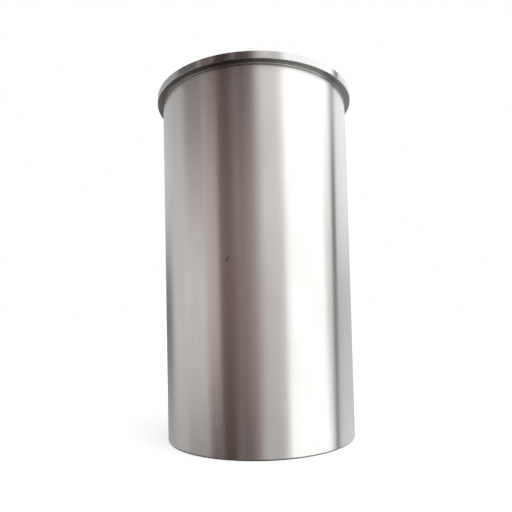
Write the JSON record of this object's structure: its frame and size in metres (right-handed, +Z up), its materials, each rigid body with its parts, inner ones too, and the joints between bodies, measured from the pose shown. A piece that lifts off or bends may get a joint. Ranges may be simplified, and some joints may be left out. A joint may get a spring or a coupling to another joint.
{
  "type": "cylinder liner",
  "caption": "Thin-walled flanged dry cylinder liner with a locating flange, a relief groove under it and a lead-in at the foot.",
  "frame": {"origin": "centre of the lower end face, on the bore's axis", "axes": "+Z up along the bore's axis, from the foot towards the flange; X and Y are equal, because the liner is round"},
  "size_m": [0.1134, 0.1134, 0.1957],
  "materials": {
    "liner_metal": "satin"
  },
  "bodies": {
    "root": {"cylinder_liner": "liner_metal"}
  },
  "joints": []
}
